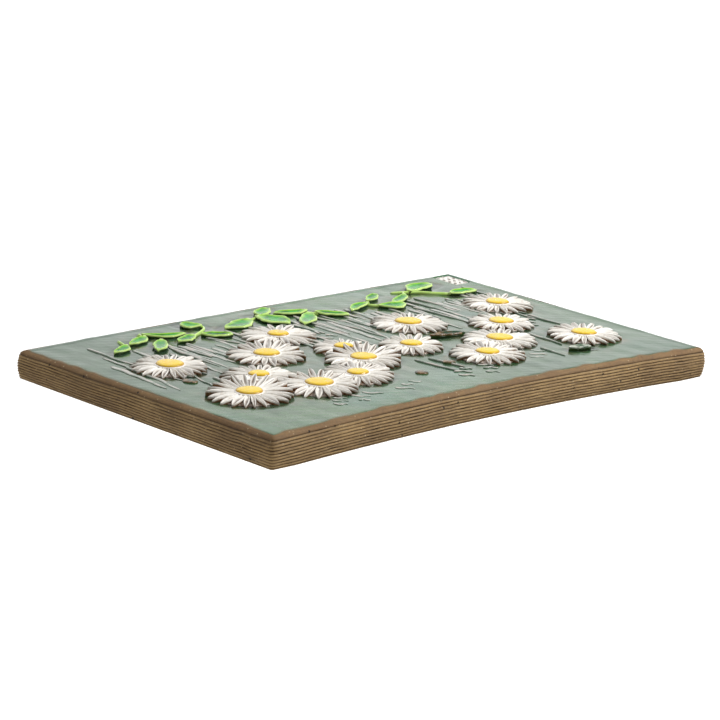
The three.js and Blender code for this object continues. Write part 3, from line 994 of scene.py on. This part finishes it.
CELADON_PAINTED_SHADE = (0.015, 0.07, 0.025)
MEADOW_GREY = (0.07, 0.09, 0.08)
HALO_RUST = (0.2, 0.115, 0.06)
POOL_DARK = (0.012, 0.024, 0.014)
LIP_BROWN = (0.2, 0.105, 0.037)
BAND_BROWN = (0.15, 0.078, 0.028)
SCORE_BROWN = (0.12, 0.07, 0.03)
GROOVE_PAINTED_SHADE = (0.035, 0.02, 0.009)
GRIT_PALE = (0.55, 0.42, 0.26)
PIT_PAINTED_SHADE = (0.018, 0.012, 0.008)
STREAK_PAINTED_SHADE = (0.11, 0.062, 0.034)
PETAL_SIDE_BROWN = (0.2, 0.1, 0.045)
PETAL_FOOT_DARK = (0.015, 0.024, 0.013)
DISC_RIM_PAINTED_SHADE = (0.4, 0.2, 0.015)
LEAF_BRIGHT = (0.32, 0.62, 0.04)
LEAF_RIM_PALE = (0.66, 0.84, 0.3)
LEAF_SIDE_PAINTED_SHADE = (0.045, 0.085, 0.02)
GRASS_SIDE_PAINTED_SHADE = (0.1, 0.145, 0.1)
SOFT_SHINE = 0.25
FULL_SHINE = 0.5


class Nodes:
    """Short names for the nodes of a material or of the room."""

    def __init__(self, owner, place="Object"):
        owner.use_nodes = True
        self.owner = owner
        self.tree = owner.node_tree
        self.place = self.tree.nodes.new("ShaderNodeTexCoord").outputs[place]

    def link(self, source, target):
        self.tree.links.new(source, target)

    def node(self, kind, source, socket="Vector", **values):
        """A node with one socket linked and others set by their names in lower case."""
        node = self.tree.nodes.new("ShaderNode" + kind)
        self.link(source, node.inputs[socket])
        for name, value in values.items():
            node.inputs[name.replace("_", " ").title()].default_value = value
        return node

    def put(self, value, target):
        """Sets a colour or a number on a socket, or links it."""
        if isinstance(value, tuple):
            target.default_value = (*value, 1)
        elif isinstance(value, float):
            target.default_value = value
        else:
            self.link(value, target)

    def noise(self, scale, detail=4.0, rough=0.55, stretch=None):
        source = self.place
        if stretch:
            source = self.node("Mapping", source, scale=stretch).outputs["Vector"]
        node = self.node("TexNoise", source, scale=scale, detail=detail, roughness=rough)
        return node.outputs["Fac"]

    def cells(self, scale):
        return self.node("TexVoronoi", self.place, scale=scale).outputs["Distance"]

    def tint(self, name):
        node = self.tree.nodes.new("ShaderNodeAttribute")
        node.attribute_name = name
        return node.outputs["Fac"]

    def ramp(self, source, stops):
        node = self.node("ValToRGB", source, "Fac")
        ramp = node.color_ramp
        while len(ramp.elements) < len(stops):
            ramp.elements.new(0.5)
        for element, (place, colour) in zip(ramp.elements, stops):
            element.position = place
            element.color = (*colour, 1)
        return node.outputs["Color"]

    def grey(self, source, low, high, start=0.0, end=1.0):
        """The source from start to end, drawn to the range from low to high."""
        node = self.node("MapRange", source, "Value", from_min=start, from_max=end, to_min=low, to_max=high)
        return node.outputs["Result"]

    def combine(self, first, second, operation):
        node = self.tree.nodes.new("ShaderNodeMath")
        node.operation = operation
        self.link(first, node.inputs[0])
        self.link(second, node.inputs[1])
        return node.outputs["Value"]

    def sum(self, first, second):
        return self.combine(first, second, "ADD")

    def product(self, first, second):
        return self.combine(first, second, "MULTIPLY")

    def mix(self, share, first, second, mode="MIX"):
        node = self.tree.nodes.new("ShaderNodeMix")
        node.data_type = "RGBA"
        node.blend_type = mode
        for socket, value in ((0, share), (6, first), (7, second)):
            self.put(value, node.inputs[socket])
        return node.outputs[2]

    def bump(self, source, strength, distance, below=None):
        node = self.node("Bump", source, "Height", strength=strength, distance=distance)
        if below:
            self.link(below, node.inputs["Normal"])
        return node.outputs["Normal"]

    def surface(self, colour, roughness, normal=None, shine=FULL_SHINE):
        """Joins the looks to the shader, and gives the material."""
        sockets = self.tree.nodes["Principled BSDF"].inputs
        sockets["Specular IOR Level"].default_value = shine
        self.link(colour, sockets["Base Color"])
        self.put(roughness, sockets["Roughness"])
        if normal:
            self.link(normal, sockets["Normal"])
        return self.owner


def new_material(name):
    return Nodes(bpy.data.materials.new(name))


def celadon_material(name):
    """Mottled grey-green glaze with painted shade in two corners, dark in pools, brown at its thin lip."""
    n = new_material(name)
    broad = n.noise(14, 5, 0.6)
    fine = n.noise(90, 5, 0.6)
    colour = n.ramp(broad, [
        (0.34, (0.04, 0.105, 0.052)),
        (0.5, (0.075, 0.15, 0.068)),
        (0.66, (0.06, 0.15, 0.09)),
    ])
    # painted shade in two corners
    colour = n.mix(n.grey(n.tint("painted_corner_shade"), 0, 0.8), colour, CELADON_PAINTED_SHADE)
    speckle = n.ramp(fine, [(0.35, (0.8, 0.82, 0.82)), (0.62, (1.12, 1.1, 1.06))])
    colour = n.mix(1.0, colour, speckle, "MULTIPLY")
    meadow = n.product(n.tint("meadow"), n.grey(n.noise(60, 4, 0.6, (1, 1, 0.25)), 0.1, 0.9))
    colour = n.mix(n.grey(meadow, 0, 0.55), colour, MEADOW_GREY)
    rust = n.product(n.tint("halo"), n.grey(n.noise(80, 4, 0.65), 0, 1, 0.5, 0.66))
    colour = n.mix(n.grey(rust, 0, 0.5), colour, HALO_RUST)
    pool = n.product(n.tint("pool"), n.grey(n.noise(70, 3, 0.6), 0.15, 0.9, 0.42, 0.6))
    colour = n.mix(pool, colour, POOL_DARK)
    lip = n.product(n.tint("lip"), n.grey(n.noise(120, 4, 0.6), 0.3, 1.3))
    colour = n.mix(n.grey(lip, 0, 0.9, 0.1, 0.7), colour, LIP_BROWN)
    roughness = n.sum(n.grey(fine, 0.1, 0.22), n.grey(lip, 0, 0.5, 0.1, 0.8))
    wave = n.bump(n.noise(30, 3), 0.3, 0.0012)
    pores = n.bump(n.noise(420, 2), 0.12, 0.0003, wave)
    return n.surface(colour, roughness, pores)


def clay_material(name):
    """Toasted bare stoneware, with painted shade in its comb grooves and pits, and pale grit."""
    n = new_material(name)
    broad = n.noise(22, 5, 0.6)
    grain = n.noise(520, 5, 0.7)
    pits = n.cells(95)
    colour = n.ramp(broad, [
        (0.3, (0.25, 0.155, 0.066)),
        (0.5, (0.35, 0.225, 0.095)),
        (0.72, (0.45, 0.3, 0.135)),
    ])
    band = n.product(n.tint("band"), n.grey(n.noise(40, 4), 0.4, 1.0))
    colour = n.mix(band, colour, BAND_BROWN)
    scored = n.grey(n.noise(1, 3, 0.6, (30, 1500, 30)), 0, 0.45, 0.52, 0.64)
    colour = n.mix(scored, colour, SCORE_BROWN)
    # painted shade in the comb grooves and torn ridges
    groove = n.product(n.tint("groove"), n.grey(n.noise(70, 4), 0.4, 1.1))
    colour = n.mix(groove, colour, GROOVE_PAINTED_SHADE)
    colour = n.mix(n.grey(n.cells(230), 1, 0, 0.05, 0.14), colour, GRIT_PALE)
    # painted shade in the pits
    colour = n.mix(n.grey(pits, 1, 0, 0.05, 0.1), colour, PIT_PAINTED_SHADE)
    shade = n.ramp(grain, [(0.3, (0.75, 0.73, 0.7)), (0.65, (1.15, 1.15, 1.12))])
    colour = n.mix(1.0, colour, shade, "MULTIPLY")
    rough = n.bump(grain, 0.55, 0.0005)
    holes = n.bump(n.grey(pits, 0, 1, 0.02, 0.12), 0.8, 0.0008, rough)
    return n.surface(colour, n.grey(grain, 0.62, 0.9), holes)


def petal_material(name):
    """White glaze with painted shade in brown along the streaks of the petals, and brown on their sides."""
    n = new_material(name)
    cloud = n.noise(260, 4, 0.6)
    white = n.ramp(cloud, [(0.3, (0.74, 0.68, 0.59)), (0.48, (0.92, 0.89, 0.83))])
    # painted shade: brown along the streaks of the petals and in the stamp strokes
    thin = n.product(n.tint("cup"), n.grey(n.noise(70, 4, 0.6), 0.45, 1.1, 0.36, 0.56))
    colour = n.mix(thin, white, STREAK_PAINTED_SHADE)
    edge = n.sum(n.tint("top"), n.grey(n.noise(150, 4, 0.6), -0.3, 0.3))
    colour = n.mix(n.grey(edge, 1, 0, 0.2, 0.5), colour, PETAL_SIDE_BROWN)
    foot = n.product(n.grey(n.tint("top"), 1, 0, 0.0, 0.3), n.grey(n.noise(90, 4), 0, 1, 0.5, 0.6))
    colour = n.mix(foot, colour, PETAL_FOOT_DARK)
    grain = n.bump(n.noise(240, 4), 0.35, 0.0006)
    return n.surface(colour, n.grey(cloud, 0.14, 0.32), grain, SOFT_SHINE)


def disc_material(name):
    """Yellow glaze, buff in patches, with amber painted shade at the rim."""
    n = new_material(name)
    cloud = n.noise(160, 4, 0.6)
    colour = n.ramp(cloud, [
        (0.34, (0.85, 0.55, 0.004)),
        (0.54, (0.9, 0.62, 0.01)),
        (0.7, (0.7, 0.5, 0.12)),
    ])
    # painted shade at the rim of the dome
    colour = n.mix(n.grey(n.tint("rim"), 0, 0.85, 0.8, 1.0), colour, DISC_RIM_PAINTED_SHADE)
    return n.surface(colour, n.grey(cloud, 0.16, 0.34), n.bump(n.noise(700, 3), 0.3, 0.0004))


def leaf_material(name):
    """Green glaze pooled between pale rims, with painted shade on the sides, brown or silvery on a few."""
    n = new_material(name)
    cloud = n.noise(150, 4, 0.6)
    deep = n.ramp(cloud, [(0.34, (0.002, 0.11, 0.004)), (0.6, (0.015, 0.38, 0.012))])
    across = n.sum(n.tint("rim"), n.grey(cloud, -0.12, 0.12))
    colour = n.mix(n.grey(across, 0, 1, 0.45, 0.8), deep, LEAF_BRIGHT)
    colour = n.mix(n.grey(across, 0, 0.9, 0.78, 0.95), colour, LEAF_RIM_PALE)
    brown = n.ramp(cloud, [
        (0.42, (0.014, 0.05, 0.022)),
        (0.52, (0.11, 0.065, 0.025)),
        (0.68, (0.32, 0.22, 0.13)),
    ])
    silver = n.ramp(cloud, [(0.42, (0.07, 0.12, 0.07)), (0.58, (0.5, 0.52, 0.44))])
    dull = n.mix(n.grey(n.tint("green"), 0, 1, -0.9, -0.7), brown, silver)
    colour = n.mix(n.grey(n.tint("green"), 1, 0, -0.4, 0.0), colour, dull)
    # painted shade on the low sides of leaves and buds
    edge = n.sum(n.tint("top"), n.grey(n.noise(150, 4, 0.6), -0.2, 0.2))
    colour = n.mix(n.grey(edge, 1, 0, 0.1, 0.5), colour, LEAF_SIDE_PAINTED_SHADE)
    grain = n.bump(n.noise(200, 3), 0.25, 0.0006)
    return n.surface(colour, n.grey(cloud, 0.08, 0.22), grain, SOFT_SHINE)


def stalk_material(name):
    """Thin pale glaze on the crests of the grass, with painted shade on the flanks beside them."""
    n = new_material(name)
    cloud = n.noise(90, 5, 0.65)
    colour = n.ramp(cloud, [
        (0.36, (0.16, 0.22, 0.16)),
        (0.5, (0.38, 0.38, 0.34)),
        (0.64, (0.5, 0.42, 0.37)),
    ])
    # painted shade on the flanks of stalks, grass and ripples
    colour = n.mix(n.grey(n.tint("foot"), 0, 0.75, 0.4, 0.95), colour, GRASS_SIDE_PAINTED_SHADE)
    return n.surface(colour, n.grey(cloud, 0.12, 0.28), n.bump(n.noise(240, 3), 0.3, 0.0005))


def floor_material():
    n = new_material("studio_floor")
    colour = n.ramp(n.noise(1.5, 2), [(0.3, (0.86, 0.86, 0.86)), (0.7, (0.88, 0.88, 0.88))])
    return n.surface(colour, 0.9)


# Studio

def turned(vector):
    """From the axes of the lying plaque to those of the hung one."""
    return Vector((-vector[0], -vector[2], -vector[1]))


def face_lean():
    """The small turn from an even slab to the tapered one, about the thick corner of its face."""
    lean_back = Matrix.Rotation(THINNER_AT_FOOT / PLAQUE_HEIGHT, 4, "X")
    lean_aside = Matrix.Rotation(-THINNER_AT_LEFT / PLAQUE_LENGTH, 4, "Z")
    pivot = Vector(VIEW_PIVOT)
    corner = Vector((pivot.x, -SLAB_THICKNESS * MILLIMETRE, pivot.z))
    return Matrix.Translation(corner) @ lean_back @ lean_aside @ Matrix.Translation(-pivot)


def make_camera():
    drop = math.cos(VIEW_DROP)
    forward = Vector((-math.sin(VIEW_TURN) * drop, math.cos(VIEW_TURN) * drop, -math.sin(VIEW_DROP)))
    right = forward.cross(Vector((0, 0, 1))).normalized()
    up = right.cross(forward)
    leaned = right * math.cos(VIEW_ROLL) + up * math.sin(VIEW_ROLL)
    raised = up * math.cos(VIEW_ROLL) - right * math.sin(VIEW_ROLL)
    matrix = Matrix((turned(leaned), turned(raised), -turned(forward))).transposed().to_4x4()
    matrix.translation = Vector(VIEW_TARGET) - turned(forward) * VIEW_DISTANCE
    camera = bpy.data.objects.new("camera", bpy.data.cameras.new("camera"))
    camera.data.sensor_width = 36
    camera.data.lens = VIEW_LENS
    camera.data.shift_x, camera.data.shift_y = VIEW_SHIFT
    camera.data.clip_end = 50
    camera.matrix_world = face_lean() @ matrix
    bpy.context.scene.collection.objects.link(camera)
    bpy.context.scene.camera = camera


def add_light(name, place, aim, size, power):
    lamp = bpy.data.lights.new(name, "AREA")
    lamp.size = size
    lamp.energy = power
    light = bpy.data.objects.new(name, lamp)
    light.visible_camera = False
    light.location = place
    way = Vector(aim) - Vector(place)
    light.rotation_euler = way.to_track_quat("-Z", "Y").to_euler()
    bpy.context.scene.collection.objects.link(light)


def make_studio():
    sides = [(-1, -1), (1, -1), (1, 1), (-1, 1)]
    corners = [(x * FLOOR_HALF, y * FLOOR_HALF, FLOOR_LEVEL) for x, y in sides]
    floor = add_mesh("floor", corners, [[0, 1, 2, 3]])
    floor.data.materials.append(floor_material())
    make_surroundings()
    add_light("key", (-1.0, -1.5, 0.75), (0, -0.02, -0.09), 0.5, 38)
    add_light("backdrop", (-1.6, 0.85, 0.1), (-1.6, 0.85, -1.3), 1.0, 24)


def make_surroundings():
    """Soft pale room, brightest behind the plaque."""
    world = bpy.data.worlds.new("studio")
    n = Nodes(world, "Generated")
    split = n.node("SeparateXYZ", n.place)
    background = n.tree.nodes["Background"].inputs
    n.link(n.grey(split.outputs["Y"], 0.22, 1.0, -1.0), background["Strength"])
    background["Color"].default_value = (1, 1, 1, 1)
    bpy.context.scene.world = world
    bpy.context.scene.view_settings.view_transform = "Standard"


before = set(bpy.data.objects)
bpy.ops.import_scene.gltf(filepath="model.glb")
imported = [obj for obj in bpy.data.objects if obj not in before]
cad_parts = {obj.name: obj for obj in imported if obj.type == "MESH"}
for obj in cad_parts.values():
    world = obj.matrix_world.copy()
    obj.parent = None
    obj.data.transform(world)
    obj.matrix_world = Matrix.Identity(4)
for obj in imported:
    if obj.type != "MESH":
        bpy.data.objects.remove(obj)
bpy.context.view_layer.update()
clay = clay_material("bare_clay")
celadon = celadon_material("celadon")
petal_glaze = petal_material("petal_white")
disc_glaze = disc_material("disc_yellow")
leaf_glaze = leaf_material("leaf_green")
make_slab(clay)
make_field(celadon)
make_daisies(petal_glaze, disc_glaze)
make_leaves(leaf_glaze)
make_stalks(stalk_material("stalk_pale"))
make_buds(leaf_glaze)
make_stamp(petal_glaze)
make_camera()
make_studio()
